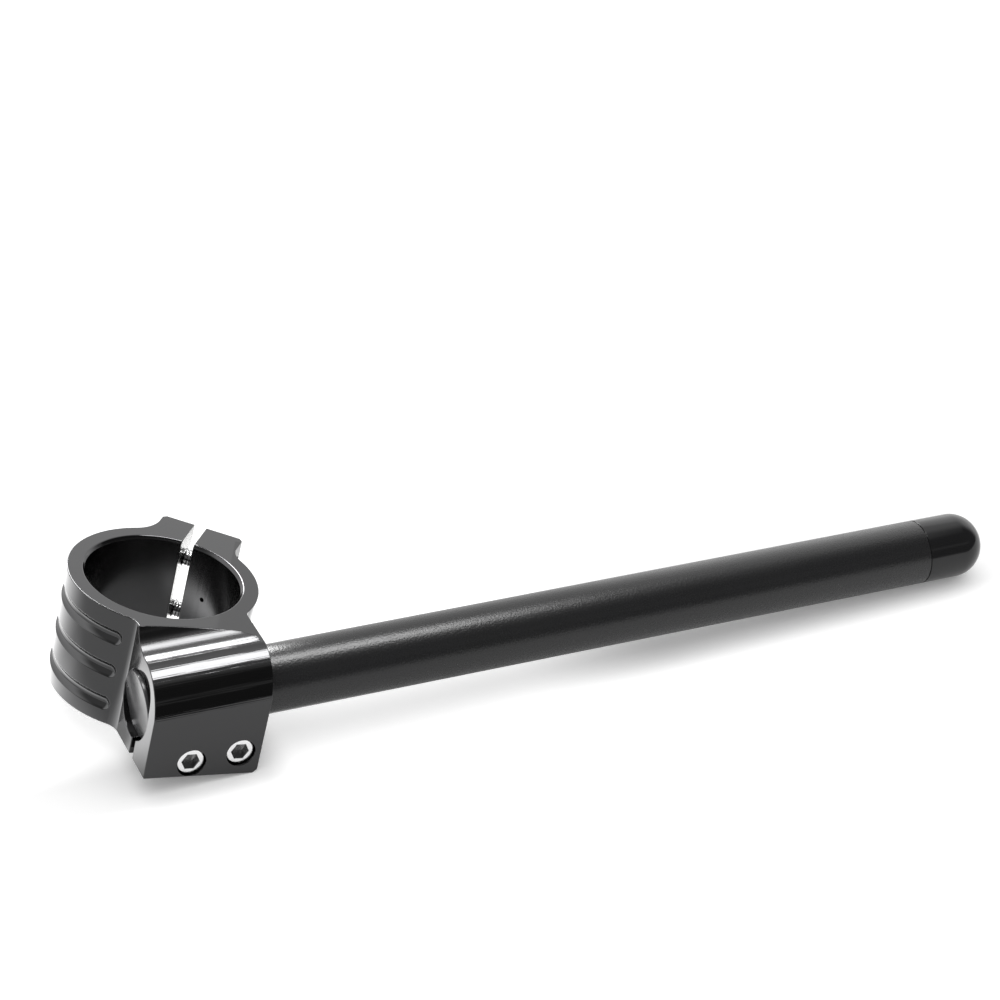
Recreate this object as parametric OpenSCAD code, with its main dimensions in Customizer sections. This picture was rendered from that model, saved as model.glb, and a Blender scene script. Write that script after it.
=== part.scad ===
// Clip-on handlebar for a motorcycle fork leg: a machined fork clamp with a pinch slit,
// a round bar held in its own split clamp, and the four socket screws that close both.
// Frame: origin on the fork axis at mid-height of the clamp, +Z up the fork,
// +X outwards along the bar as seen from above, bar in front of the fork at -Y.

/* [Fork ring] */
// Diameter of the fork leg that the clamp fits
fork_d = 50; // [41:0.1:56]
// Wall of the ring round the fork leg
ring_wall = 6; // [5:0.25:8]
// Height of the clamp along the fork
clamp_h = 40; // [38:0.5:50]
// Chamfer at both mouths of the fork bore
mouth_chamfer = 1; // [0.2:0.1:1.5]

/* [Pinch ears] */
// Direction of the pinch slit, anticlockwise from the bar's side
slit_angle = 52.5; // [45:0.5:65]
// Width of the pinch slit
slit_w = 4; // [2:0.5:5]
// Wall between the fork bore and the pinch bolts
bolt_wall = 5; // [5:0.25:6]
// Distance from the pinch bolts out to the ends of the ears
ear_edge = 6; // [5.5:0.5:11]
// Thickness of the threaded ear, from the middle of the slit
threaded_ear_t = 13; // [11:0.5:15]
// Thickness of the ear that takes the bolt heads, from the middle of the slit
head_ear_t = 15; // [14:0.5:17]
// Chamfer on the outer corner of each ear
ear_chamfer = 1.2; // [0.5:0.1:2]
// Fillet from the ring to the threaded ear
threaded_ear_fillet = 12; // [9:0.5:14]
// Fillet from the ring to the ear with the bolt heads
head_ear_fillet = 9; // [6:0.5:11]

/* [Side grooves] */
// Number of long grooves round the side of the ring
groove_count = 3; // [1:1:3]
// Spacing of the grooves along the fork, as a share of the clamp's height
groove_pitch_share = 0.3; // [0.22:0.01:0.31]
// Radius of the ball-nosed cutter that leaves the grooves
groove_r = 3; // [2:0.25:3.5]
// Depth of the grooves
groove_depth = 1.3; // [0.5:0.1:2]
// Direction of the groove end beside the bar clamp
groove_from = 225; // [215:1:228]
// Angle that the grooves run round the ring
groove_sweep = 100; // [40:1:105]

/* [Bar clamp] */
// Distance from the fork axis forward to the bar axis
bar_offset = 38.3; // [37.5:0.1:46]
// Angle by which the bar rises outwards
bar_rise = 10; // [6:0.5:10]
// Length of the bar clamp inwards of the fork axis
clamp_inner = 18; // [16:0.5:19]
// Length of the bar clamp outwards of the fork axis
clamp_outer = 20; // [19.5:0.5:24]
// Radius of the round barrel over the bar
barrel_r = 16.5; // [15.5:0.25:18]
// Depth of the flat front face below the round of the barrel
front_flat = 0.45; // [0.2:0.05:1]
// Radius of the cove between the barrel and the ring
cove_r = 9.7; // [8:0.1:10]
// Fillet from the ring to the inner end of the bar clamp
inner_fillet = 6.5; // [4:0.5:8]
// Fillet from the ring to the outer end of the bar clamp
outer_fillet = 4; // [2:0.5:5]
// Chamfer under the outer end of the bar clamp
outer_chamfer = 1.2; // [0.5:0.1:2]
// Width of the slit below the bar
bar_slit_w = 3; // [1.5:0.25:3.5]
// Distance of that slit in front of the bar axis
bar_slit_ahead = 3.4; // [2:0.1:4.5]

/* [Bar] */
// Outside diameter of the bar
bar_d = 22; // [20:0.1:22.2]
// Wall of the bar
bar_wall = 3; // [2:0.25:4]
// Length of the bar without its plugs
bar_len = 280; // [200:1:320]
// Depth of the inner plug's face inside the end of the clamp, on the bar axis
plug_inset = 0.35; // [0.1:0.05:1]
// Thickness of the inner plug's flange
plug_flange = 1.6; // [1:0.1:2.5]
// Groove left between the inner plug's flange and the bar
plug_groove = 0.5; // [0.2:0.1:1]
// Depth of that groove
plug_groove_depth = 0.8; // [0.4:0.1:1.2]
// Chamfer round the inner plug's face
plug_chamfer = 0.3; // [0.1:0.05:0.5]
// Length of the end cap outside the bar
cap_len = 24.5; // [18:0.5:36]
// Rounding of the end cap's dome, as a share of its radius
cap_round_share = 0.95; // [0.55:0.05:0.95]
// Width of the fine step at the seam of the end cap
cap_step = 0.3; // [0.2:0.1:0.6]
// Length of each plug's stem inside the bar
stem_len = 22; // [15:1:30]
// Number of barbs on each stem
stem_barbs = 3; // [1:1:4]
// Height of the barbs
barb_h = 0.6; // [0.3:0.1:0.8]

/* [Screws] */
// Thread diameter of all four screws
screw_d = 6; // [5:0.5:6]
// Across flats of their hex sockets
socket_af = 5; // [4:0.5:5]
// Depth of their hex sockets
socket_depth = 3; // [2:0.25:4]
// Chamfer round the top of their heads
head_chamfer = 0.35; // [0.2:0.05:0.5]
// Head diameter of the bar clamp screws
bar_head_d = 9; // [8.5:0.1:9.2]
// Head height of the bar clamp screws
bar_head_h = 5; // [4:0.5:6]
// Length of the bar clamp screws under the head
bar_screw_len = 16; // [14:0.5:18]
// Depth of their heads below the front face
bar_head_recess = 1; // [0.5:0.25:2]
// Distance of the bar clamp screws below the bar axis
screw_drop = 14.45; // [14.4:0.05:14.6]
// Place of the inner screw, inwards of the fork axis
inner_screw_x = 2.8; // [2:0.1:3.5]
// Spacing of the two screws along the clamp
screw_pitch = 16; // [12:0.5:17]
// Head diameter of the pinch bolts
pinch_head_d = 10; // [9:0.25:10.5]
// Head height of the pinch bolts
pinch_head_h = 6; // [5:0.5:7]
// Length of the pinch bolts under the head
pinch_bolt_len = 20; // [18:0.5:21]
// Spacing of the two pinch bolts, as a share of the clamp's height
pinch_pitch_share = 0.5; // [0.45:0.01:0.55]

/* [Fits] */
// Radial room of a screw in its clearance hole
hole_room = 0.1; // [0.05:0.05:0.2]
// Radial room of a screw in its threaded hole
thread_room = 0.04; // [0.02:0.02:0.1]
// Radial room of a screw head in its counterbore
head_room = 0.3; // [0.2:0.05:0.4]
// Radial room of the bar in its clamp
bar_room = 0.05; // [0.02:0.01:0.1]
// Radial room of the plug stems in the bar
stem_room = 0.05; // [0.02:0.01:0.1]

/* [Hidden] */
$fn = 96;
// Overrun of every cut past the face that it leaves
over = 1;
// Bite of a fillet or a ball-shaped end into the face that it runs out of
bite = 0.02;
// Share of the barbs' spacing that each barb's cone takes
barb_share = 0.5;
// Small hole in the wall of the fork bore: diameter, depth, direction and height
pip_d = 1.6;
pip_depth = 1.2;
pip_angle = 32;
pip_z = 2.3;
// Height of the pinch bolts' middle above the middle of the clamp
pinch_mid = 0.5;
// Height of the grooves' middle below the middle of the clamp
groove_sink = 0.8;
fork_r = fork_d / 2;
ring_r = fork_r + ring_wall;
mid_h = clamp_h / 2;
groove_pitch = clamp_h * groove_pitch_share;
pinch_pitch = clamp_h * pinch_pitch_share;
front_y = bar_offset + barrel_r - front_flat;
bar_r = bar_d / 2;
cap_round = bar_r * cap_round_share;
bar_bore_r = bar_r + bar_room;
tube_bore_r = bar_r - bar_wall;
stem_r = tube_bore_r - stem_room;
slit_front_y = bar_offset + bar_slit_ahead + bar_slit_w / 2;
plug_start = -(clamp_inner - plug_inset) / cos(bar_rise);
bar_start = plug_start + plug_flange;
bar_end = bar_start + bar_len;
screw_r = screw_d / 2;
pinch_reach = fork_r + bolt_wall + screw_r;
ear_reach = pinch_reach + ear_edge;
bar_counter_r = bar_head_d / 2 + head_room;
bar_seat_y = front_y - bar_head_recess - bar_head_h;
pinch_counter_r = pinch_head_d / 2 + head_room;
pinch_seat_y = (head_ear_t + slit_w / 2) / 2;
groove_path_r = ring_r + groove_r - groove_depth;
// Reach past every side of the clamp
far = ring_r + clamp_h + bar_offset;

// Places its children in the bar's own frame: X along the bar from the fork axis
module on_bar() {
    translate([0, -bar_offset, 0])
        rotate([0, -bar_rise, 0])
            children();
}

// Places its children with X along the pinch slit, outwards from the fork axis
module on_slit() {
    rotate([0, 0, slit_angle])
        children();
}

// Fills the corner between the ring and a straight side at x = side, with a fillet of radius r
module ring_fillet(side, r) {
    reach = ring_r + r - bite;
    centre_x = side + r - bite;
    centre_y = sqrt(reach * reach - centre_x * centre_x);
    on_ring_share = ring_r / reach;
    difference() {
        polygon([
            [0, 0],
            [centre_x * on_ring_share, centre_y * on_ring_share],
            [centre_x, centre_y],
            [side - bite, centre_y],
            [0, centre_y]
        ]);
        translate([centre_x, centre_y])
            circle(r);
    }
}

// Outline of one ear in the slit's frame, on the side of +Y
module ear_outline(thickness, fillet) {
    polygon([
        [0, 0],
        [ear_reach, 0],
        [ear_reach, thickness - ear_chamfer],
        [ear_reach - ear_chamfer, thickness],
        [0, thickness]
    ]);
    rotate([0, 0, 90])
        mirror([0, 1, 0])
            ring_fillet(thickness, fillet);
}

// Outline of the whole clamp as seen down the fork
module clamp_outline() {
    circle(ring_r);
    on_slit() {
        ear_outline(threaded_ear_t, threaded_ear_fillet);
        mirror([0, 1, 0])
            ear_outline(head_ear_t, head_ear_fillet);
    }
    translate([-clamp_inner, -front_y])
        square([clamp_inner + clamp_outer, front_y - fork_r / 2]);
    mirror([0, 1, 0])
        ring_fillet(clamp_outer, outer_fillet);
    rotate([0, 0, 180])
        ring_fillet(clamp_inner, inner_fillet);
}

// Section of what is milled away above the bar: X towards the ring, Y away from the bar axis
module cove_section() {
    difference() {
        union() {
            translate([-far, 0])
                square([far, far]);
            translate([-bite, barrel_r])
                square([cove_r + bite, far]);
        }
        circle(barrel_r);
        difference() {
            translate([0, barrel_r - bite])
                square([cove_r + bite, cove_r + bite]);
            translate([0, barrel_r + cove_r])
                circle(cove_r);
        }
    }
}

// Solid to take away above the bar, along the whole clamp
module cove_cut() {
    on_bar()
        translate([-far, 0, 0])
            rotate([90, 0, 90])
                linear_extrude(2 * far)
                    cove_section();
}

// Cuts the edge under the outer end of the bar clamp, as far back as the fillet to the ring
module outer_chamfer_cut() {
    back_y = sqrt(pow(ring_r + outer_fillet, 2) - pow(clamp_outer + outer_fillet, 2));
    length = front_y + over - back_y;
    side = outer_chamfer * sqrt(2);
    translate([clamp_outer, -back_y - length / 2, -mid_h])
        rotate([0, 45, 0])
            cube([side, length, side], center = true);
}

// One long groove with ball-shaped ends
module groove_cut() {
    rotate([0, 0, groove_from - groove_sweep])
        rotate_extrude(angle = groove_sweep)
            translate([groove_path_r, 0])
                circle(groove_r);
    for (end_angle = [groove_from, groove_from - groove_sweep])
        rotate([0, 0, end_angle])
            translate([groove_path_r, 0, 0])
                rotate([90, 0, 0])
                    sphere(groove_r + bite);
}

// Fork bore with its chamfered mouths and the small hole in its wall
module fork_bore_cut() {
    cylinder(h = clamp_h + 2 * over, r = fork_r, center = true);
    for (side = [0, 1])
        mirror([0, 0, side])
            translate([0, 0, mid_h - mouth_chamfer])
                cylinder(h = mouth_chamfer + over, r1 = fork_r, r2 = fork_r + mouth_chamfer + over);
    rotate([0, 0, pip_angle])
        translate([fork_r - over, 0, pip_z])
            rotate([0, 90, 0])
                cylinder(h = over + pip_depth, r = pip_d / 2, $fn = 32);
}

// Places its children at each pinch bolt: Z runs from the head to the tip, 0 under the head
module on_pinch_bolt(sign) {
    on_slit()
        translate([pinch_reach, -pinch_seat_y, pinch_mid + sign * pinch_pitch / 2])
            rotate([-90, 0, 0])
                children();
}

// Holes of one pinch bolt: counterbore, clearance hole and threaded hole
module pinch_hole_cut(sign) {
    on_pinch_bolt(sign) {
        mirror([0, 0, 1])
            cylinder(h = head_ear_t, r = pinch_counter_r);
        translate([0, 0, -over])
            cylinder(h = pinch_seat_y + over, r = screw_r + hole_room);
        cylinder(h = pinch_seat_y + threaded_ear_t + over, r = screw_r + thread_room);
    }
}

// Places its children at a bar clamp screw: Z runs from the head to the tip, 0 under the head
module on_bar_screw(x) {
    translate([x, -bar_seat_y, x * tan(bar_rise) - screw_drop / cos(bar_rise)])
        rotate([-90, 0, 0])
            children();
}

// Holes of one bar clamp screw: counterbore, clearance hole and blind threaded hole
module bar_screw_hole_cut(x) {
    on_bar_screw(x) {
        mirror([0, 0, 1])
            cylinder(h = bar_head_h + bar_head_recess + over, r = bar_counter_r);
        translate([0, 0, -over])
            cylinder(h = bar_seat_y - slit_front_y + 2 * over, r = screw_r + hole_room);
        cylinder(h = bar_screw_len + over, r = screw_r + thread_room);
    }
}

// Socket head screw: head on -Z, shank on +Z
module socket_screw(head_d, head_h, length) {
    head_r = head_d / 2;
    socket_r = socket_af / 2 / cos(30);
    difference() {
        union() {
            translate([0, 0, -head_h + head_chamfer])
                cylinder(h = head_h - head_chamfer, r = head_r);
            translate([0, 0, -head_h])
                cylinder(h = head_chamfer, r1 = head_r - head_chamfer, r2 = head_r);
            cylinder(h = length - head_chamfer, r = screw_r);
            translate([0, 0, length - head_chamfer])
                cylinder(h = head_chamfer, r1 = screw_r, r2 = screw_r - head_chamfer);
        }
        translate([0, 0, -head_h - over])
            cylinder(h = socket_depth + over, r = socket_r, $fn = 6);
    }
}

// Outline of a plug's stem, from its tip at y = -stem_len up to y = 0 at the mouth of the bar
function stem_points() =
    let (root_r = stem_r - barb_h, barb_pitch = stem_len / (stem_barbs + 1)) [
        [0, -stem_len],
        [root_r, -stem_len],
        for (i = [stem_barbs : -1 : 1]) each [
            [root_r, -(i + barb_share) * barb_pitch],
            [stem_r, -i * barb_pitch],
            if (i > 1) [root_r, -i * barb_pitch]
        ],
        [stem_r, 0]
    ];

module fork_clamp() {
    color([0.16, 0.16, 0.17])
    difference() {
        translate([0, 0, -mid_h])
            linear_extrude(clamp_h)
                clamp_outline();
        cove_cut();
        fork_bore_cut();
        on_slit()
            translate([0, -slit_w / 2, -mid_h - over])
                cube([ear_reach + over, slit_w, clamp_h + 2 * over]);
        for (i = [0 : groove_count - 1])
            translate([0, 0, (i - (groove_count - 1) / 2) * groove_pitch - groove_sink])
                groove_cut();
        on_bar()
            rotate([0, 90, 0])
                cylinder(h = 2 * far, r = bar_bore_r, center = true);
        translate([-clamp_inner - over, -slit_front_y, -mid_h - over])
            cube([clamp_inner + clamp_outer + 2 * over, bar_slit_w, mid_h + over]);
        outer_chamfer_cut();
        bar_screw_hole_cut(-inner_screw_x);
        bar_screw_hole_cut(screw_pitch - inner_screw_x);
        pinch_hole_cut(1);
        pinch_hole_cut(-1);
    }
}

module bar_tube() {
    color([0.2, 0.2, 0.21])
    on_bar()
        translate([bar_start, 0, 0])
            rotate([0, 90, 0])
                difference() {
                    cylinder(h = bar_len, r = bar_r);
                    translate([0, 0, -over])
                        cylinder(h = bar_len + 2 * over, r = tube_bore_r);
                }
}

module inner_plug() {
    neck_r = bar_r - plug_groove_depth;
    color([0.1, 0.1, 0.1])
    on_bar()
        translate([bar_start, 0, 0])
            rotate([0, -90, 0])
                rotate_extrude()
                    polygon([
                        each stem_points(),
                        [neck_r, 0],
                        [neck_r, plug_groove],
                        [bar_r, plug_groove],
                        [bar_r, plug_flange - plug_chamfer],
                        [bar_r - plug_chamfer, plug_flange],
                        [0, plug_flange]
                    ]);
}

module end_cap() {
    color([0.08, 0.08, 0.08])
    on_bar()
        translate([bar_end, 0, 0])
            rotate([0, 90, 0])
                rotate_extrude() {
                    polygon([
                        each stem_points(),
                        [bar_r - cap_step, 0],
                        [bar_r - cap_step, cap_step],
                        [bar_r, cap_step],
                        [bar_r, cap_len - cap_round],
                        [bar_r - cap_round, cap_len],
                        [0, cap_len]
                    ]);
                    intersection() {
                        translate([bar_r - cap_round, cap_len - cap_round])
                            circle(cap_round);
                        translate([bar_r - cap_round, cap_len - cap_round])
                            square(cap_round);
                    }
                }
}

module bar_screw_inner() {
    color([0.8, 0.8, 0.82])
    on_bar_screw(-inner_screw_x)
        socket_screw(bar_head_d, bar_head_h, bar_screw_len);
}

module bar_screw_outer() {
    color([0.8, 0.8, 0.82])
    on_bar_screw(screw_pitch - inner_screw_x)
        socket_screw(bar_head_d, bar_head_h, bar_screw_len);
}

module pinch_bolt_upper() {
    color([0.8, 0.8, 0.82])
    on_pinch_bolt(1)
        socket_screw(pinch_head_d, pinch_head_h, pinch_bolt_len);
}

module pinch_bolt_lower() {
    color([0.8, 0.8, 0.82])
    on_pinch_bolt(-1)
        socket_screw(pinch_head_d, pinch_head_h, pinch_bolt_len);
}

fork_clamp();
bar_tube();
inner_plug();
end_cap();
bar_screw_inner();
bar_screw_outer();
pinch_bolt_upper();
pinch_bolt_lower();
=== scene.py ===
"""Looks of a clip-on handlebar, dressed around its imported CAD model.

Everything is in metres in the part's own frame: the origin is on the fork axis at
mid-height of the clamp, +Z runs up the fork and +X runs outwards along the bar.
"""

import logging
import math
from collections.abc import Iterable, Sequence
from dataclasses import dataclass
from enum import Enum
from typing import Union

import bmesh
import bpy
from mathutils import Matrix, Vector
from mathutils.bvhtree import BVHTree
from mathutils.geometry import barycentric_transform


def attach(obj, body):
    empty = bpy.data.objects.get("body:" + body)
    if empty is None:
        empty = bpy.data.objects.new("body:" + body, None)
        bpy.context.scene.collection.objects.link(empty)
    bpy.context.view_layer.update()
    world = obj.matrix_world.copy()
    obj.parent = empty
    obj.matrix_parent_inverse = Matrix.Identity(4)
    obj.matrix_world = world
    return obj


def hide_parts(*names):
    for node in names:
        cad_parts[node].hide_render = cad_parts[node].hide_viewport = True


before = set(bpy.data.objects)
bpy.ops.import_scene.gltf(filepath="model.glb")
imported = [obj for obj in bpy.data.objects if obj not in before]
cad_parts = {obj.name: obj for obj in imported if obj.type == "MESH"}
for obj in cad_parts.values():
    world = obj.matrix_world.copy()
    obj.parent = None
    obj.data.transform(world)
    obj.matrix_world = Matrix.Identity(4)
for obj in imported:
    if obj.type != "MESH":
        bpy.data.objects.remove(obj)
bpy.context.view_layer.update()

LOG = logging.getLogger("clip_on")
MM = 0.001
BODY = "root"
# Name of the screws' vertex share of painted shade, in their sockets and threads.
PAINTED_SHADE = "painted_shade"
BAR_RISE = math.radians(10)
BAR_OFFSET = 38.3
SLIT_ANGLE = math.radians(52.5)
FLOOR = "floor"

Number = Union["Signal", float]
Colour = tuple[float, float, float]
Point = tuple[float, float, float]


class Slot(Enum):
    """Material slots of the part's record."""

    CLAMP = "clamp_anodised"
    BAR = "bar_anodised"
    PLUG = "plug_plastic"
    CAP = "cap_plastic"
    SCREW = "screw_steel"


# --------------------------------------------------------------------- shader maths


class Signal:
    """One output socket of a shader tree, with the operators that the finishes use."""

    def __init__(self, shader: "Shader", socket: bpy.types.NodeSocket) -> None:
        """Wraps a socket.

        Args:
            shader: the shader that the socket's node belongs to.
            socket: the output socket.
        """
        self.shader = shader
        self.socket = socket

    def math(self, operation: str, *others: Number) -> "Signal":
        """Adds a Math node.

        Args:
            operation: the node's operation.
            others: the operands after this one.

        Returns:
            The node's value.
        """
        return self.shader.node("ShaderNodeMath", {"operation": operation}, [self, *others])

    def __add__(self, other: Number) -> "Signal":
        """This plus another."""
        return self.math("ADD", other)

    __radd__ = __add__

    def __sub__(self, other: Number) -> "Signal":
        """This less another."""
        return self.math("SUBTRACT", other)

    def __rsub__(self, other: float) -> "Signal":
        """A number less this."""
        return self.math("MULTIPLY", -1.0) + other

    def __mul__(self, other: Number) -> "Signal":
        """This times another."""
        return self.math("MULTIPLY", other)

    __rmul__ = __mul__

    def within(self, low: float, high: float) -> "Signal":
        """Smooth step from 0 at low to 1 at high.

        Args:
            low: where the step starts.
            high: where it ends; it may be the lower number, for a step downwards.

        Returns:
            A value from 0 to 1.
        """
        return self.shader.node(
            "ShaderNodeMapRange",
            {"interpolation_type": "SMOOTHSTEP"},
            {"Value": self, "From Min": low, "From Max": high},
        )


class Shader:
    """A node tree of a material or the world, built node by node."""

    def __init__(self, owner: bpy.types.Material | bpy.types.World) -> None:
        """Starts an empty tree.

        Args:
            owner: the material or world that the tree belongs to.
        """
        owner.use_nodes = True
        self.owner = owner
        self.tree = owner.node_tree
        self.tree.nodes.clear()

    def node(
        self,
        kind: str,
        settings: dict | None = None,
        inputs: Sequence | dict | None = None,
        output: str | int = 0,
    ) -> Signal:
        """Makes one node of any type.

        Args:
            kind: the node's type.
            settings: its properties, set first.
            inputs: values or signals of its sockets, in order or by name.
            output: the output to hand back.

        Returns:
            That output.
        """
        made = self.tree.nodes.new(kind)
        for name, value in (settings or {}).items():
            setattr(made, name, value)
        pairs = inputs.items() if isinstance(inputs, dict) else enumerate(inputs or [])
        for name, value in pairs:
            if isinstance(value, Signal):
                self.tree.links.new(value.socket, made.inputs[name])
            else:
                made.inputs[name].default_value = value
        return Signal(self, made.outputs[output]) if len(made.outputs) else None

    def place(self) -> Signal:
        """Object coordinates of the shaded point, in metres."""
        return self.node("ShaderNodeTexCoord", output="Object")

    def turned(self, place: Signal, angles: Point, scale: Point) -> Signal:
        """Turns and stretches a place, for a pattern with a direction.

        Args:
            place: the coordinates.
            angles: turn about X, Y and Z, in radians.
            scale: scale along X, Y and Z after the turn.

        Returns:
            The new coordinates.
        """
        straight = self.node(
            "ShaderNodeMapping",
            {"vector_type": "POINT"},
            {"Vector": place, "Rotation": angles},
        )
        return self.node(
            "ShaderNodeVectorMath", {"operation": "MULTIPLY"}, [straight, scale]
        )

    def rays(self) -> tuple[Signal, Signal]:
        """Whether a ray comes from the camera, and whether it comes from a reflection."""
        path = self.node("ShaderNodeLightPath").socket.node.outputs
        return Signal(self, path["Is Camera Ray"]), Signal(self, path["Is Glossy Ray"])

    def axes(self, vector: Signal) -> tuple[Signal, Signal, Signal]:
        """Takes a place in metres apart.

        Args:
            vector: the place.

        Returns:
            Its X, Y and Z, in millimetres.
        """
        first = self.node("ShaderNodeSeparateXYZ", inputs=[vector])
        outputs = first.socket.node.outputs
        return tuple(Signal(self, outputs[i]) * (1 / MM) for i in range(3))

    def noise(self, place: Signal, scale: float, detail: float = 2.0) -> Signal:
        """Noise from 0 to 1.

        Args:
            place: the coordinates.
            scale: features per metre.
            detail: octaves.

        Returns:
            The noise.
        """
        return self.node(
            "ShaderNodeTexNoise",
            {"noise_dimensions": "3D"},
            {"Vector": place, "Scale": scale, "Detail": detail},
            "Fac",
        )

    def blend(
        self, share: Number, first: Union[Signal, Colour], second: Union[Signal, Colour]
    ) -> Signal:
        """Mix of two colours.

        Args:
            share: share of the second colour.
            first: the colour at share 0.
            second: the colour at share 1.

        Returns:
            The mixed colour.
        """
        sides = [c if isinstance(c, Signal) else (*c, 1.0) for c in (first, second)]
        made = self.node("ShaderNodeMix", {"data_type": "RGBA"}, output=2)
        inputs = made.socket.node.inputs
        for socket, value in zip((inputs[0], inputs[6], inputs[7]), (share, *sides)):
            if isinstance(value, Signal):
                self.tree.links.new(value.socket, socket)
            else:
                socket.default_value = value
        return made

    def bump(self, height: Signal, depth: float, below: Signal | None = None) -> Signal:
        """Bumps the normal.

        Args:
            height: height from 0 to 1.
            depth: what a height of 1 is worth, in metres.
            below: the normal of a coarser bump under this one.

        Returns:
            The normal.
        """
        inputs = {"Height": height, "Distance": depth, "Strength": 1.0}
        if below is not None:
            inputs["Normal"] = below
        return self.node("ShaderNodeBump", inputs=inputs)

    def surface(self, **sockets: Number | Colour) -> bpy.types.Material:
        """Ends a material with its Principled shader.

        Args:
            sockets: values or signals of the shader's sockets, with _ for a space.

        Returns:
            The material.
        """
        inputs = {
            name.replace("_", " "): (*value, 1.0) if isinstance(value, tuple) else value
            for name, value in sockets.items()
        }
        shader = self.node("ShaderNodeBsdfPrincipled", inputs=inputs)
        self.node("ShaderNodeOutputMaterial", inputs={"Surface": shader})
        return self.owner


# ------------------------------------------------------------------------- finishes


def lighter(colour: Colour, factor: float) -> Colour:
    """A colour made lighter by a factor."""
    return tuple(part * factor for part in colour)


@dataclass(frozen=True)
class ClampFinish:
    """Black anodised aluminium, machined, with bare metal where it was slit afterwards.

    Its lengths are in millimetres, and the scales of its patterns in features per metre.
    """

    name: str = "clamp_black_anodised"
    black: Colour = (0.064, 0.064, 0.065)
    bare: Colour = (0.36, 0.36, 0.355)
    rise: float = BAR_RISE
    slit_angle: float = SLIT_ANGLE
    slit_half: float = 2.06
    bore: float = 25.0
    lathe_scale: Point = (20.0, 1000.0, 1000.0)
    saw_scale: Point = (3600.0, 3600.0, 360.0)
    grain_scale: float = 5200.0
    cloud_scale: float = 90.0
    least_roughness: float = 0.06
    depth: float = 0.00001

    def material(self) -> bpy.types.Material:
        """Builds the material.

        Returns:
            The material.
        """
        shader = Shader(bpy.data.materials.new(self.name))
        place = shader.place()
        x, y, z = shader.axes(place)
        across = y * math.cos(self.slit_angle) - x * math.sin(self.slit_angle)
        along = x * math.cos(self.slit_angle) + y * math.sin(self.slit_angle)
        in_slit = across.math("ABSOLUTE").within(self.slit_half + 0.03, self.slit_half)
        bare = in_slit * along.within(self.bore - 0.4, self.bore)
        in_bore = (x * x + y * y).math("SQRT").within(self.bore + 0.6, self.bore + 0.2)
        between_ends = x.within(-17.9, -17.8) * x.within(19.9, 19.8) * y.within(-25.0, -26.0)
        behind_bar = y.within(-38.6, -38.0)
        in_cove = between_ends * behind_bar * z.within(12.0, 12.5) * z.within(19.95, 19.9)
        on_barrel = between_ends * y.within(-37.0, -38.0)
        lathe = shader.turned(place, (0.0, self.rise, 0.0), self.lathe_scale)
        lines = shader.noise(lathe, 1.0, 3.0)
        saw = shader.turned(place, (0.0, 0.0, -self.slit_angle), self.saw_scale)
        cuts = shader.noise(saw, 1.0, 3.0)
        grain = shader.noise(place, self.grain_scale, 3.0)
        cloud = shader.noise(place, self.cloud_scale)
        height = lines * (on_barrel * 6.0 + in_cove * 3.0 + 0.03)
        height = height + grain * (in_cove * 0.8 + 0.12) + cuts * bare * 9.0
        roughness = self.least_roughness + cloud * 0.04 + grain * 0.03
        roughness = roughness + in_cove * 0.12 + bare * 0.12 + in_bore * 0.1
        colour = shader.blend(bare, self.black, self.bare)
        return shader.surface(
            Base_Color=colour,
            Metallic=1.0,
            Roughness=roughness,
            Normal=shader.bump(height, self.depth),
        )


@dataclass(frozen=True)
class BarFinish:
    """Satin black anodised tube with a fine grain."""

    name: str = "bar_satin_black"
    black: Colour = (0.014, 0.014, 0.0145)
    mottling: float = 1.15
    roughness: float = 0.22
    gloss: float = 0.42
    grain_scale: float = 1700.0
    grain_depth: float = 0.00007
    cloud_scale: float = 60.0

    def material(self) -> bpy.types.Material:
        """Builds the material.

        Returns:
            The material.
        """
        shader = Shader(bpy.data.materials.new(self.name))
        place = shader.place()
        grain = shader.noise(place, self.grain_scale)
        cloud = shader.noise(place, self.cloud_scale)
        return shader.surface(
            Base_Color=shader.blend(cloud, self.black, lighter(self.black, self.mottling)),
            Roughness=self.roughness + cloud * 0.05 + grain * 0.06,
            Specular_IOR_Level=self.gloss,
            Normal=shader.bump(grain, self.grain_depth),
        )


@dataclass(frozen=True)
class PlasticFinish:
    """Black moulded plastic with a faint moulding texture."""

    name: str
    black: Colour = (0.0095, 0.0095, 0.01)
    roughness: float = 0.1
    mottling: float = 1.2
    gloss: float = 0.4
    grain_scale: float = 2600.0
    grain_depth: float = 0.0000012
    cloud_scale: float = 110.0

    def material(self) -> bpy.types.Material:
        """Builds the material.

        Returns:
            The material.
        """
        shader = Shader(bpy.data.materials.new(self.name))
        place = shader.place()
        grain = shader.noise(place, self.grain_scale)
        cloud = shader.noise(place, self.cloud_scale)
        return shader.surface(
            Base_Color=shader.blend(cloud, self.black, lighter(self.black, self.mottling)),
            Roughness=self.roughness + cloud * 0.05,
            Specular_IOR_Level=self.gloss,
            Normal=shader.bump(grain, self.grain_depth),
        )


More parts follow.
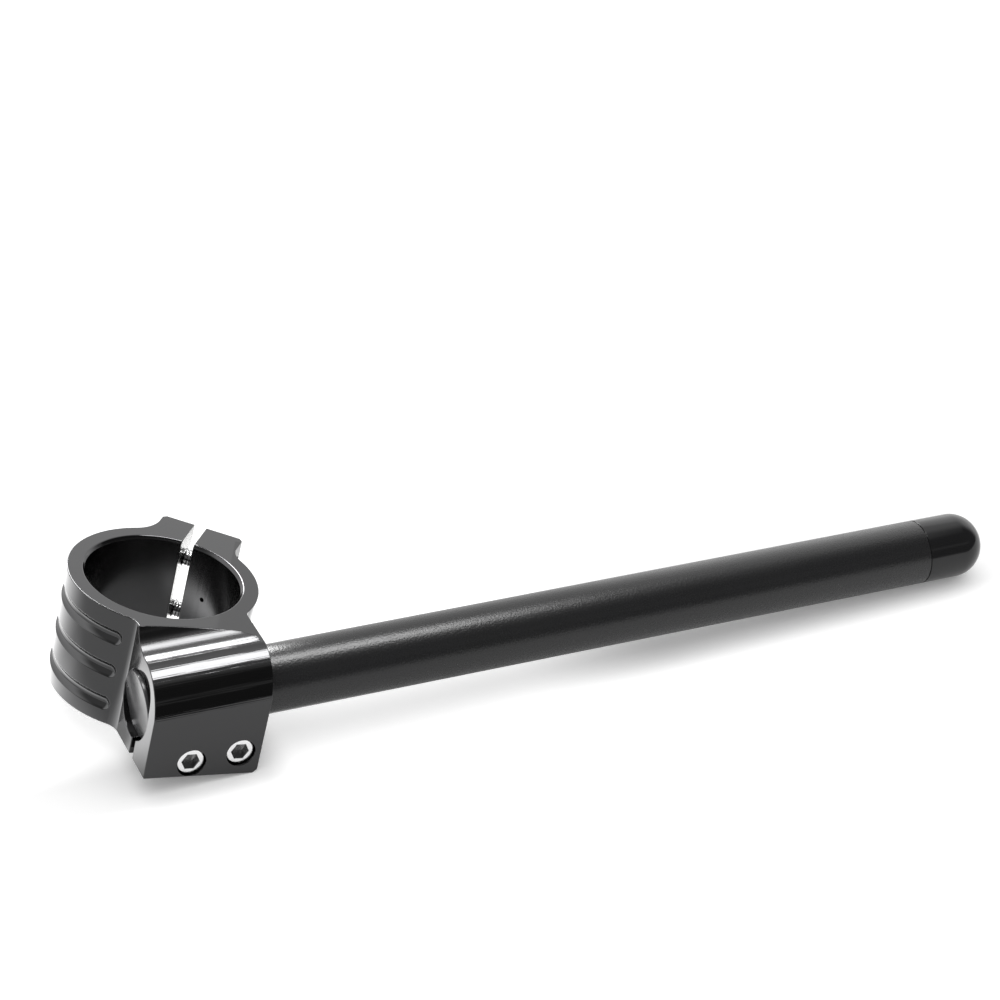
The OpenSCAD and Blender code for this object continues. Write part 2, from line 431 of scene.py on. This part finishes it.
@dataclass(frozen=True)
class SteelFinish:
    """Bright plated steel of the socket screws, with painted shade darkening the sockets and
    threads.
    """

    name: str = "screw_plated_steel"
    bright: Colour = (1.0, 1.0, 1.0)
    dull: Colour = (0.84, 0.84, 0.85)
    # Colour of the painted shade in the sockets and threads.
    painted_shade_colour: Colour = (0.1, 0.1, 0.1)
    roughness: float = 0.14
    grain_scale: float = 6000.0
    grain_depth: float = 0.000003
    cloud_scale: float = 420.0

    def material(self) -> bpy.types.Material:
        """Builds the material.

        Returns:
            The material.
        """
        shader = Shader(bpy.data.materials.new(self.name))
        place = shader.place()
        # Painted shade: a share per vertex darkens the hex sockets and the threads.
        painted_shade = shader.node("ShaderNodeAttribute", {"attribute_name": PAINTED_SHADE}, output="Fac")
        cloud = shader.noise(place, self.cloud_scale, 3.0)
        grain = shader.noise(place, self.grain_scale)
        plated = shader.blend(cloud, self.bright, self.dull)
        return shader.surface(
            Base_Color=shader.blend(painted_shade, plated, self.painted_shade_colour),
            Metallic=1.0,
            Roughness=self.roughness + cloud * 0.14 - painted_shade * 0.06,
            Normal=shader.bump(grain, self.grain_depth),
        )


# ---------------------------------------------------------------------- mesh making


@dataclass(frozen=True)
class Station:
    """One ring of a turned piece: place along the axis and radius, in millimetres."""

    along: float
    radius: float
    hexagonal: bool = False


def rounded(points: Sequence[tuple[float, float, float]], steps: int = 4) -> list[Station]:
    """Rounds the corners of an outline.

    Args:
        points: place along the axis, radius and corner rounding, in millimetres.
        steps: edges of each rounding.

    Returns:
        The stations of the rounded outline.
    """
    made: list[Station] = []
    for i, (along, radius, size) in enumerate(points):
        here = Vector((along, radius))
        if size <= 0 or i in (0, len(points) - 1):
            made.append(Station(along, radius))
            continue
        before = (Vector(points[i - 1][:2]) - here).normalized()
        after = (Vector(points[i + 1][:2]) - here).normalized()
        half = before.angle(after) / 2
        reach = size / math.tan(half)
        centre = here + (before + after).normalized() * size / math.sin(half)
        start = here + before * reach - centre
        end = here + after * reach - centre
        for k in range(steps + 1):
            spoke = start.slerp(end, k / steps).normalized() * size
            made.append(Station(centre.x + spoke.x, centre.y + spoke.y))
    return made


def turned_mesh(
    stations: Sequence[Station], segments: int, closed: bool = False
) -> bmesh.types.BMesh:
    """Makes a turned solid round its X axis.

    Args:
        stations: the outline from one end to the other; a radius of 0 is a pole.
        segments: faces round the axis.
        closed: joins the last station to the first, for a tube.

    Returns:
        The mesh, in millimetres.
    """
    made = bmesh.new()
    rings: list[list[bmesh.types.BMVert]] = []
    for station in stations:
        if station.radius <= 0:
            rings.append([made.verts.new((station.along, 0.0, 0.0))])
            continue
        ring = []
        for k in range(segments):
            angle = 2 * math.pi * k / segments
            radius = station.radius
            if station.hexagonal:
                sixth = math.pi / 3
                radius /= math.cos((angle % sixth) - sixth / 2)
            ring.append(
                made.verts.new(
                    (station.along, radius * math.cos(angle), radius * math.sin(angle))
                )
            )
        rings.append(ring)
    pairs = list(zip(rings, rings[1:]))
    if closed:
        pairs.append((rings[-1], rings[0]))
    for first, second in pairs:
        for k in range(segments):
            following = (k + 1) % segments
            corners = [first[k % len(first)], first[following % len(first)]]
            corners += [second[following % len(second)], second[k % len(second)]]
            unique = list(dict.fromkeys(corners))
            if len(unique) > 2:
                made.faces.new(unique)
    bmesh.ops.recalc_face_normals(made, faces=made.faces)
    return made


def joined(parts: Iterable[bmesh.types.BMesh]) -> bmesh.types.BMesh:
    """Puts several meshes in one.

    Args:
        parts: the meshes, which are freed.

    Returns:
        The one mesh.
    """
    made = bmesh.new()
    for part in parts:
        held = bpy.data.meshes.new("held")
        part.to_mesh(held)
        part.free()
        made.from_mesh(held)
        bpy.data.meshes.remove(held)
    return made


def piece(
    name: str,
    mesh: bmesh.types.BMesh,
    place: Matrix,
    material: bpy.types.Material,
    sharp: float = 32.0,
) -> bpy.types.Object:
    """Makes an object of a mesh in millimetres, with its place in its mesh.

    Args:
        name: the piece's name.
        mesh: the mesh, which is freed.
        place: where the mesh goes, in millimetres.
        material: its finish.
        sharp: angle in degrees past which an edge stays sharp.

    Returns:
        The object.
    """
    mesh.transform(Matrix.Scale(MM, 4) @ place)
    data = bpy.data.meshes.new(name)
    mesh.to_mesh(data)
    mesh.free()
    data.materials.append(material)
    data.polygons.foreach_set("material_index", [0] * len(data.polygons))
    data.shade_smooth()
    data.set_sharp_from_angle(angle=math.radians(sharp))
    made = bpy.data.objects.new(name, data)
    bpy.context.scene.collection.objects.link(made)
    return made


def carry(made: bpy.types.Object, slot: Slot, *nodes: str) -> None:
    """Rides a piece on the part and hides what it stands for.

    Args:
        made: the finished piece.
        slot: the record's slot that it takes its finish from; not used.
        nodes: the CAD nodes that it replaces.
    """
    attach(made, BODY)
    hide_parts(*nodes)
    faces = len(made.data.polygons)
    LOG.info("%s stands for %s, %d faces", made.name, ", ".join(nodes), faces)


class ThreadTree:
    """Geometry Nodes tree that winds one thread ridge up the Z axis."""

    sizes = ("Root Radius", "Pitch", "Length", "Depth")
    steps_per_turn = 28

    def __init__(self, material: bpy.types.Material) -> None:
        """Builds the tree.

        Args:
            material: the finish of the ridge.
        """
        self.tree = bpy.data.node_groups.new("thread_ridge", "GeometryNodeTree")
        face = self.tree.interface
        face.new_socket("Geometry", in_out="OUTPUT", socket_type="NodeSocketGeometry")
        for name in self.sizes:
            face.new_socket(name, in_out="INPUT", socket_type="NodeSocketFloat")
        given = self.tree.nodes.new("NodeGroupInput")
        turns = self._node("ShaderNodeMath", {"operation": "DIVIDE"})
        self._link(given, "Length", turns, 0)
        self._link(given, "Pitch", turns, 1)
        spiral = self._node("GeometryNodeCurveSpiral")
        spiral.inputs["Resolution"].default_value = self.steps_per_turn
        self._link(turns, 0, spiral, "Rotations")
        self._link(given, "Root Radius", spiral, "Start Radius")
        self._link(given, "Root Radius", spiral, "End Radius")
        self._link(given, "Length", spiral, "Height")
        upright = self._node("GeometryNodeSetCurveNormal", {"mode": "Z_UP"})
        self._link(spiral, 0, upright, "Curve")
        profile = self._node("GeometryNodeCurvePrimitiveQuadrilateral", {"mode": "KITE"})
        self._link(given, "Pitch", profile, "Width")
        self._link(given, "Depth", profile, "Bottom Height")
        self._link(given, "Depth", profile, "Top Height")
        swept = self._node("GeometryNodeCurveToMesh")
        swept.inputs["Fill Caps"].default_value = True
        self._link(upright, 0, swept, "Curve")
        self._link(profile, 0, swept, "Profile Curve")
        real = self._node("GeometryNodeRealizeInstances")
        self._link(swept, 0, real, 0)
        dressed = self._node("GeometryNodeSetMaterial")
        dressed.inputs["Material"].default_value = material
        self._link(real, 0, dressed, "Geometry")
        result = self.tree.nodes.new("NodeGroupOutput")
        self._link(dressed, 0, result, 0)

    def _node(self, kind: str, settings: dict | None = None) -> bpy.types.Node:
        """Adds a node.

        Args:
            kind: the node's type.
            settings: its properties.

        Returns:
            The node.
        """
        made = self.tree.nodes.new(kind)
        for name, value in (settings or {}).items():
            setattr(made, name, value)
        return made

    def _link(
        self, source: bpy.types.Node, out: str | int, target: bpy.types.Node, into: str | int
    ) -> None:
        """Links an output to an input."""
        self.tree.links.new(source.outputs[out], target.inputs[into])

    def ridge(
        self, root_radius: float, pitch: float, length: float, depth: float
    ) -> bmesh.types.BMesh:
        """Winds a ridge of given sizes, in millimetres.

        Args:
            root_radius: radius at the foot of the ridge.
            pitch: rise of one turn.
            length: length of the thread.
            depth: height of the ridge.

        Returns:
            The ridge, wound up the Z axis from 0.
        """
        holder = bpy.data.objects.new("thread_holder", bpy.data.meshes.new("thread_holder"))
        bpy.context.scene.collection.objects.link(holder)
        modifier = holder.modifiers.new("thread", "NODES")
        modifier.node_group = self.tree
        values = dict(zip(self.sizes, (root_radius, pitch, length, depth)))
        for item in self.tree.interface.items_tree:
            if item.in_out == "INPUT":
                modifier[item.identifier] = values[item.name]
        graph = bpy.context.evaluated_depsgraph_get()
        data = bpy.data.meshes.new_from_object(holder.evaluated_get(graph), depsgraph=graph)
        bpy.data.objects.remove(holder)
        made = bmesh.new()
        made.from_mesh(data)
        bpy.data.meshes.remove(data)
        bmesh.ops.recalc_face_normals(made, faces=made.faces)
        return made


# ------------------------------------------------------------------- sub-assemblies


@dataclass
class ForkClamp:
    """The machined clamp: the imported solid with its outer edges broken, in millimetres."""

    edge_break: float = 0.3
    least_turn: float = math.radians(34)
    flat_turn: float = math.radians(0.4)
    front: float = 54.35
    base: float = -20.0
    bar_screws: tuple[tuple[float, float], ...] = ((-2.8, -15.17), (13.2, -12.35))
    bar_screw_keep: float = 5.4
    pip: Point = (21.2, 13.2, 2.3)
    pip_keep: float = 2.4
    slit_angle: float = SLIT_ANGLE
    pinch_along: float = 33.0
    pinch_heights: tuple[float, float] = (10.5, -9.5)
    pinch_keep: float = 5.9
    ring: float = 31.0
    ring_share: float = 0.6
    merge: float = 0.002
    probe_share: float = 0.03
    least_match: float = 0.85

    def build(self, finish: "ClampFinish") -> None:
        """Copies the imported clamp, breaks its edges and dresses it.

        Args:
            finish: the clamp's finish.
        """
        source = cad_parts["fork_clamp"].data
        mesh = bmesh.new()
        mesh.from_mesh(source)
        bmesh.ops.remove_doubles(mesh, verts=mesh.verts, dist=self.merge * MM)
        bmesh.ops.dissolve_limit(
            mesh, angle_limit=self.flat_turn, verts=mesh.verts, edges=mesh.edges
        )
        mesh.transform(Matrix.Scale(1 / MM, 4))
        weight = mesh.edges.layers.float.new("bevel_weight_edge")
        for edge in mesh.edges:
            edge[weight] = self._edge_share(edge)
        material = finish.material()
        made = piece("clamp_body", mesh, Matrix.Identity(4), material, 180.0)
        made.data.materials.append(material)
        bevel = made.modifiers.new("edge_break", "BEVEL")
        bevel.limit_method = "WEIGHT"
        bevel.width = self.edge_break * MM
        bevel.segments = 2
        bevel.use_clamp_overlap = False
        bevel.material = 1
        graph = bpy.context.evaluated_depsgraph_get()
        data = bpy.data.meshes.new_from_object(made.evaluated_get(graph), depsgraph=graph)
        made.modifiers.clear()
        made.data = data
        self._true_normals(data, source)
        data.polygons.foreach_set("material_index", [0] * len(data.polygons))
        data.materials.pop()
        carry(made, Slot.CLAMP, "fork_clamp")

    def _edge_share(self, edge: bmesh.types.BMEdge) -> float:
        """Share of the full break that an edge gets.

        Args:
            edge: an edge of the clamp.

        Returns:
            0 for an edge that stays as it is.
        """
        if len(edge.link_faces) != 2 or not edge.is_convex:
            return 0.0
        if edge.calc_face_angle() < self.least_turn:
            return 0.0
        first, second = (v.co for v in edge.verts)
        middle = (first + second) / 2
        if (middle - Vector(self.pip)).length < self.pip_keep:
            return 0.0
        at_front = abs(middle.y + self.front) < self.edge_break
        if at_front and abs(middle.z - self.base) < self.edge_break:
            return 0.0
        for x, z in self.bar_screws:
            away = math.hypot(middle.x - x, middle.z - z)
            if middle.y < -self.front / 2 and away < self.bar_screw_keep:
                return 0.0
        along = middle.x * math.cos(self.slit_angle) + middle.y * math.sin(self.slit_angle)
        for z in self.pinch_heights:
            if math.hypot(along - self.pinch_along, middle.z - z) < self.pinch_keep:
                return 0.0
        on_ring = abs(middle.xy.length - self.ring) < self.edge_break
        between_ends = abs(middle.z) < -self.base - self.edge_break
        return self.ring_share if on_ring and between_ends else 1.0

    def _true_normals(self, data: bpy.types.Mesh, source: bpy.types.Mesh) -> None:
        """Takes each corner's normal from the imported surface, so that only broken edges blend.

        Args:
            data: the mesh with its broken edges, which are marked by material index 1.
            source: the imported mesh.
        """
        tree = BVHTree.FromPolygons(
            [v.co.copy() for v in source.vertices], [tuple(p.vertices) for p in source.polygons]
        )
        normals = [Vector(corner.vector) for corner in data.corner_normals]
        known: dict[int, Vector] = {}
        for polygon in data.polygons:
            if polygon.material_index == 1:
                continue
            flat = len(polygon.vertices) > 4
            for corner in polygon.loop_indices:
                vertex = data.loops[corner].vertex_index
                normal = polygon.normal
                if not flat:
                    probe = data.vertices[vertex].co.lerp(polygon.center, self.probe_share)
                    normal = self._normal_at(tree, source, probe, normal)
                normals[corner] = normal
                known[vertex] = known.get(vertex, Vector()) + normal
        for polygon in data.polygons:
            if polygon.material_index == 1:
                for corner in polygon.loop_indices:
                    vertex = data.loops[corner].vertex_index
                    if vertex in known:
                        normals[corner] = known[vertex].normalized()
        data.normals_split_custom_set([tuple(normal) for normal in normals])

    def _normal_at(
        self, tree: BVHTree, source: bpy.types.Mesh, probe: Vector, facing: Vector
    ) -> Vector:
        """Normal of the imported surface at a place.

        Args:
            tree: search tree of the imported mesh.
            source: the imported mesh.
            probe: the place.
            facing: normal of the face that asks.

        Returns:
            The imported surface's normal, or the face's own one where the two disagree.
        """
        place, _, index, _ = tree.find_nearest(probe)
        face = source.polygons[index]
        corners = [source.vertices[v].co for v in face.vertices]
        ends = [Vector(source.corner_normals[k].vector) for k in face.loop_indices]
        normal = barycentric_transform(place, *corners, *ends).normalized()
        return normal if normal.dot(facing) > self.least_match else facing


@dataclass
class BarEnds:
    """The bar with its inner plug and end cap, all turned round the bar axis."""

    offset: float = BAR_OFFSET
    rise: float = BAR_RISE
    start: float = -16.3228
    length: float = 280.0
    radius: float = 11.0
    wall: float = 3.0
    flange: float = 1.6
    groove: float = 0.5
    groove_depth: float = 0.8
    cap_length: float = 24.5
    cap_round: float = 10.45
    cap_step: float = 0.3
    stem: float = 22.0
    stem_room: float = 0.05
    stem_taper: float = 0.6
    mouth_round: float = 0.25
    segments: int = 128

    def place(self, along: float) -> Matrix:
        """Places a piece on the bar's axis, with X outwards.

        Args:
            along: where its 0 goes on the axis, in millimetres.

        Returns:
            The place, in millimetres.
        """
        turn = Matrix.Rotation(-self.rise, 4, "Y")
        return (
            Matrix.Translation((0.0, -self.offset, 0.0))
            @ turn
            @ Matrix.Translation((along, 0.0, 0.0))
        )

    def build(self, bar: BarFinish, plug: PlasticFinish, cap: PlasticFinish) -> None:
        """Builds and dresses the three pieces.

        Args:
            bar: finish of the bar.
            plug: finish of the inner plug.
            cap: finish of the end cap.
        """
        inner = self.radius - self.wall
        tube = rounded(
            [
                (self.length / 2, self.radius, 0),
                (self.length, self.radius, self.mouth_round),
                (self.length, inner, self.mouth_round),
                (0, inner, self.mouth_round),
                (0, self.radius, self.mouth_round),
                (self.length / 2 - 1, self.radius, 0),
            ]
        )
        inner_end = self.place(self.start)
        mesh = turned_mesh(tube, self.segments, True)
        carry(piece("bar", mesh, inner_end, bar.material()), Slot.BAR, "bar_tube")
        stem_radius = inner - self.stem_room
        stem_tip = stem_radius - self.stem_taper
        outline = rounded(
            [
                (self.stem, 0, 0),
                (self.stem, stem_tip, 0.4),
                (0, stem_radius, 0),
                (0, self.radius - self.groove_depth, 0),
                (-self.groove, self.radius - self.groove_depth, 0),
                (-self.groove, self.radius, 0.15),
                (-self.flange, self.radius, 0.3),
                (-self.flange, 0, 0),
            ]
        )
        mesh = turned_mesh(outline, self.segments)
        carry(piece("inner_plug_cap", mesh, inner_end, plug.material()), Slot.PLUG, "inner_plug")
        outline = rounded(
            [
                (-self.stem, 0, 0),
                (-self.stem, stem_tip, 0.4),
                (0, stem_radius, 0),
                (0, self.radius - self.cap_step, 0),
                (self.cap_step, self.radius - self.cap_step, 0),
                (self.cap_step, self.radius, 0.1),
                (self.cap_length, self.radius, self.cap_round),
                (self.cap_length, 0, 0),
            ],
            steps=16,
        )
        mesh = turned_mesh(outline, self.segments)
        outer_end = self.place(self.start + self.length)
        carry(piece("end_cap_dome", mesh, outer_end, cap.material()), Slot.CAP, "end_cap")


@dataclass(frozen=True)
class ScrewSize:
    """Head and length of one kind of screw, in millimetres."""

    head_radius: float
    head_height: float
    length: float


@dataclass
class SocketScrews:
    """The four socket head screws, with hex sockets and wound threads."""

    bar_size: ScrewSize = ScrewSize(4.5, 5.0, 16.0)
    pinch_size: ScrewSize = ScrewSize(5.0, 6.0, 20.0)
    bar_seat: float = -48.35
    bar_drop: float = 14.45
    bar_screws: tuple[tuple[str, str, float], ...] = (
        ("screw_inner", "bar_screw_inner", -2.8),
        ("screw_outer", "bar_screw_outer", 13.2),
    )
    pinch_along: float = 33.0
    pinch_seat: float = -8.5
    pinch_bolts: tuple[tuple[str, str, float], ...] = (
        ("pinch_upper", "pinch_bolt_upper", 10.5),
        ("pinch_lower", "pinch_bolt_lower", -9.5),
    )
    radius: float = 3.0
    pitch: float = 1.0
    thread_depth: float = 0.54
    socket_half: float = 2.5
    socket_depth: float = 3.0
    edge: float = 0.35
    thread_start: float = 1.4
    thread_stop: float = 1.0
    # Shares of painted shade on the threads and deep in the hex sockets.
    thread_shade: float = 0.45
    socket_shade: float = 0.65
    segments: int = 48

    def screw(self, threads: ThreadTree, size: ScrewSize) -> bmesh.types.BMesh:
        """Builds one screw along X, with 0 under its head and its tip at +X.

        Args:
            threads: the tree that winds the thread.
            size: the screw's head and length.

        Returns:
            The screw, in millimetres.
        """
        root = self.radius - self.thread_depth
        shank = self.radius - 0.05
        top = -size.head_height
        floor = top + self.socket_depth
        stations = [
            Station(floor + self.socket_half * 0.45, 0),
            Station(floor, self.socket_half * 0.96),
            Station(floor, self.socket_half, True),
            Station(top + 0.18, self.socket_half, True),
            Station(top, self.socket_half + 0.16, True),
        ]
        stations += rounded(
            [
                (top, self.socket_half + 0.5, 0),
                (top, size.head_radius, self.edge),
                (0, size.head_radius, 0.15),
                (0, shank, 0),
                (1.2, shank, 0),
                (1.6, root, 0),
                (size.length - 0.6, root, 0),
                (size.length, root - 0.6, 0.1),
                (size.length, 0, 0),
            ]
        )
        body = turned_mesh(stations, self.segments)
        wound = size.length - self.thread_start - self.thread_stop
        ridge = threads.ridge(root, self.pitch, wound, self.thread_depth)
        along_x = Matrix.Rotation(math.pi / 2, 4, "Y")
        ridge.transform(Matrix.Translation((self.thread_start, 0, 0)) @ along_x)
        made = joined([body, ridge])
        # Painted shade: the threads and the deep part of each hex socket are darkened.
        painted_shade = made.verts.layers.float.new(PAINTED_SHADE)
        for vert in made.verts:
            in_socket = math.hypot(vert.co.y, vert.co.z) < self.socket_half * 1.2
            deep = vert.co.x > top + self.edge / 2
            shade_here = self.socket_shade if in_socket and deep else 0.0
            vert[painted_shade] = self.thread_shade if vert.co.x > 0 else shade_here
        return made

    def build(self, finish: SteelFinish) -> None:
        """Builds, places and dresses all four.

        Args:
            finish: finish of the screws.
        """
        material = finish.material()
        threads = ThreadTree(material)
        along_y = Matrix.Rotation(math.pi / 2, 4, "Z")
        for name, node, x in self.bar_screws:
            height = x * math.tan(BAR_RISE) - self.bar_drop / math.cos(BAR_RISE)
            place = Matrix.Translation((x, self.bar_seat, height)) @ along_y
            made = piece(name, self.screw(threads, self.bar_size), place, material)
            carry(made, Slot.SCREW, node)
        slit = Matrix.Rotation(SLIT_ANGLE, 4, "Z")
        for name, node, height in self.pinch_bolts:
            seat = Matrix.Translation((self.pinch_along, self.pinch_seat, height))
            place = slit @ seat @ along_y
            made = piece(name, self.screw(threads, self.pinch_size), place, material)
            carry(made, Slot.SCREW, node)


# --------------------------------------------------------------------------- studio


@dataclass(frozen=True)
class Softbox:
    """A rectangular area lamp that only gloss sees, with its sizes in metres."""

    name: str
    place: Point
    target: Point
    size: tuple[float, float]
    radiance: float

    def build(self) -> None:
        """Makes the lamp; its power follows from its radiance and size."""
        data = bpy.data.lights.new(self.name, "AREA")
        data.shape = "RECTANGLE"
        data.size, data.size_y = self.size
        data.energy = self.radiance * math.pi * self.size[0] * self.size[1]
        lamp = bpy.data.objects.new(self.name, data)
        lamp.visible_camera = lamp.visible_diffuse = False
        lamp.location = self.place
        back = Vector(self.place) - Vector(self.target)
        lamp.rotation_euler = back.to_track_quat("Z", "Y").to_euler()
        bpy.context.scene.collection.objects.link(lamp)
        LOG.info("lamp %s, %.2f W", self.name, data.energy)


@dataclass
class Studio:
    """Camera, lamps, world and the tilted floor that the clip-on lies on, in metres.

    Levels are shares of white: of the floor where the camera sees it, with and without
    the depth of the painted shadow, and of the floor, card and room where gloss sees them,
    the floor with its painted pool of light and painted glow under the ring.
    """

    camera_place: Point = (-0.34574, -0.76200, 0.48758)
    azimuth: float = math.radians(-31.153)
    elevation: float = math.radians(26.352)
    roll: float = math.radians(14.305)
    lens: float = 107.17
    floor_points: tuple[Point, Point, Point] = (
        (0.0188, -0.05435, -0.020),
        (0.0250, 0.0183, -0.020),
        (0.2830, -0.0383, 0.0385),
    )
    floor_size: float = 6.0
    floor_white: float = 0.95
    floor_lift: float = 0.5
    # Depth of the painted shadow under the clamp's foot and the bar's far end.
    painted_shadow_depth: float = 0.33
    floor_in_gloss: float = 0.12
    # Painted light that only reflections see: a glow on the floor under the ring and a pool of
    # light beside the clamp.
    painted_glow_in_ring: float = 0.15
    painted_pool_in_gloss: float = 4.2
    far_in_gloss: float = 0.08
    card_level: float = 1.35
    room_level: float = 0.08
    backdrop_level: float = 1.5
    ceiling_level: float = 0.45
    rail_level: float = 0.2
    wall_level: float = 0.4
    lamps: tuple[Softbox, ...] = (
        Softbox(
            name="lamp_above",
            place=(-0.0075, -0.005, 0.60),
            target=(-0.0075, -0.005, 0.0),
            size=(0.405, 0.19),
            radiance=15.0,
        ),
        Softbox(
            name="lamp_behind",
            place=(0.05, 0.760, 0.585),
            target=(0.05, -0.038, 0.016),
            size=(0.31, 0.434),
            radiance=30.0,
        ),
    )

    def build(self) -> None:
        """Builds the whole studio."""
        self._camera()
        self._floor()
        self._grey_card()
        self._world()
        for lamp in self.lamps:
            lamp.build()
        bpy.context.scene.view_settings.view_transform = "Standard"

    def _camera(self) -> None:
        """Places the camera at the photograph's angle."""
        back = Vector(
            (
                math.sin(self.azimuth) * math.cos(self.elevation),
                -math.cos(self.azimuth) * math.cos(self.elevation),
                math.sin(self.elevation),
            )
        )
        level = (-back).cross(Vector((0.0, 0.0, 1.0))).normalized()
        upright = back.cross(level)
        right = level * math.cos(self.roll) + upright * math.sin(self.roll)
        up = back.cross(right)
        data = bpy.data.cameras.new("camera")
        data.lens = self.lens
        data.clip_start, data.clip_end = 0.02, 50.0
        camera = bpy.data.objects.new("camera", data)
        turn = Matrix((right, up, back)).transposed().to_4x4()
        camera.matrix_world = Matrix.Translation(self.camera_place) @ turn
        bpy.context.scene.collection.objects.link(camera)
        bpy.context.scene.camera = camera

    def _staged(self, name: str, mesh: bmesh.types.BMesh, material: bpy.types.Material) -> None:
        """Adds an object of the studio, which only reflections see unless it is the floor.

        Args:
            name: its name.
            mesh: its mesh in metres, which is freed.
            material: its material.
        """
        data = bpy.data.meshes.new(name)
        mesh.to_mesh(data)
        mesh.free()
        data.materials.append(material)
        made = bpy.data.objects.new(name, data)
        bpy.context.scene.collection.objects.link(made)
        made.visible_camera = made.visible_diffuse = name == FLOOR

    def _floor(self) -> None:
        """Lays the floor under the clamp's corner, the ring and the end cap."""
        first, second, third = (Vector(p) for p in self.floor_points)
        normal = (third - first).cross(second - first).normalized()
        if normal.z < 0:
            normal.negate()
        mesh = bmesh.new()
        bmesh.ops.create_grid(mesh, x_segments=1, y_segments=1, size=self.floor_size / 2)
        turn = normal.to_track_quat("Z", "Y").to_matrix().to_4x4()
        mesh.transform(Matrix.Translation(first) @ turn)
        self._staged(FLOOR, mesh, self._floor_material())

    def _grey_card(self) -> None:
        """Stands a card behind the bar, so that its gloss doesn't show the lamp behind."""
        slope = math.tan(BAR_RISE)
        left, right, back, bottom, top = 33.0, 160.0, 22.0, 15.0, 80.0
        mesh = bmesh.new()
        corners = ((left, bottom), (right, bottom), (right, top), (left, top))
        mesh.faces.new([mesh.verts.new((x, back, x * slope + z)) for x, z in corners])
        mesh.transform(Matrix.Scale(MM, 4))
        shader = Shader(bpy.data.materials.new("card_grey"))
        grey = shader.node("ShaderNodeEmission", inputs={"Strength": self.card_level})
        shader.node("ShaderNodeOutputMaterial", inputs={"Surface": grey})
        self._staged("grey_card", mesh, shader.owner)

    def _floor_material(self) -> bpy.types.Material:
        """White floor that keeps its shadow and can be seen through from below, with a painted
        shadow under the clamp's foot and the bar's far end, and a painted pool of light and glow
        that only reflections see.

        Returns:
            The material.
        """
        shader = Shader(bpy.data.materials.new("floor_white"))
        to_camera, to_gloss = shader.rays()
        x, y, _ = shader.axes(shader.place())
        # Painted light that only reflections see: a pool of light beside the clamp, kept off the
        # floor under the ring, which gets a fainter painted glow.
        outside_ring = (x * x + y * y).math("SQRT").within(31.0, 36.0)
        away = (x * 0.73 + y * 0.68).within(-80.0, 10.0)
        beside = y.within(-45.0, -15.0) * y.within(260.0, 150.0) * x.within(80.0, 40.0)
        close = 1.0 - 0.6 * y.within(15.0, 45.0)
        painted_pool = outside_ring * away * beside * close * self.painted_pool_in_gloss
        in_bore = self.painted_glow_in_ring * (1.0 - outside_ring)
        seen_in_gloss = to_gloss * (painted_pool + self.floor_in_gloss + in_bore)
        # Painted shadow: the floor's glow to the camera is lowered under the clamp's foot and the
        # bar's far end.
        painted_shadow_at_foot = x.within(35.0, 20.0) * y.within(-25.0, -40.0) * y.within(-68.0, -55.0)
        painted_shadow_at_far_end = x.within(110.0, 170.0) * y.within(-62.0, -46.0)
        lift = to_camera * (self.floor_lift - self.painted_shadow_depth * (painted_shadow_at_foot + painted_shadow_at_far_end))
        glow = shader.node("ShaderNodeEmission", inputs={"Color": lift + seen_in_gloss})
        white = (*[self.floor_white] * 3, 1.0)
        matt = shader.node("ShaderNodeBsdfDiffuse", inputs={"Color": white})
        lit = shader.node("ShaderNodeAddShader", inputs=[glow, matt])
        unlit = shader.node("ShaderNodeEmission", inputs={"Strength": self.far_in_gloss})
        far = to_gloss * y.within(-250.0, -400.0)
        both = shader.node("ShaderNodeMixShader", inputs=[far, lit, unlit])
        clear = shader.node("ShaderNodeBsdfTransparent")
        under = shader.node("ShaderNodeNewGeometry", output="Backfacing")
        mixed = shader.node("ShaderNodeMixShader", inputs=[under, both, clear])
        shader.node("ShaderNodeOutputMaterial", inputs={"Surface": mixed})
        return shader.owner

    def _world(self) -> None:
        """White to the camera, with a white backdrop behind and a dim room in front for gloss."""
        world = bpy.data.worlds.new("studio")
        bpy.context.scene.world = world
        shader = Shader(world)
        to_camera, to_gloss = shader.rays()
        direction = shader.node("ShaderNodeTexCoord", output="Generated")
        parts = shader.node("ShaderNodeSeparateXYZ", inputs=[direction]).socket.node.outputs
        right, behind, up = (Signal(shader, part) for part in parts)
        backdrop = self.backdrop_level * behind.within(-0.05, 0.35)
        backdrop = backdrop * (1.0 - 0.3 * up.within(0.72, 0.8))
        ceiling = self.ceiling_level * up.within(0.87, 0.97)
        rail = behind.within(-0.5, -0.6) * up.within(0.46, 0.50) * up.within(0.60, 0.55)
        left_wall = self.wall_level * right.within(-0.35, -0.8)
        room = self.room_level + backdrop + ceiling + self.rail_level * rail + left_wall
        overhead = to_camera + (1.0 - to_camera) * (0.5 + up.within(0.4, 1.0))
        level = to_gloss * room + (1.0 - to_gloss) * overhead
        light = shader.node("ShaderNodeBackground", inputs={"Color": level})
        shader.node("ShaderNodeOutputWorld", inputs={"Surface": light})


def main() -> None:
    """Builds the studio and every piece in order."""
    logging.basicConfig(level=logging.INFO, format="%(name)s: %(message)s")
    Studio().build()
    ForkClamp().build(ClampFinish())
    plug = PlasticFinish("plug_black_gloss", black=(0.05, 0.05, 0.052), roughness=0.2)
    BarEnds().build(BarFinish(), plug, PlasticFinish("cap_black_gloss"))
    SocketScrews().build(SteelFinish())


if __name__ == "__main__":
    main()
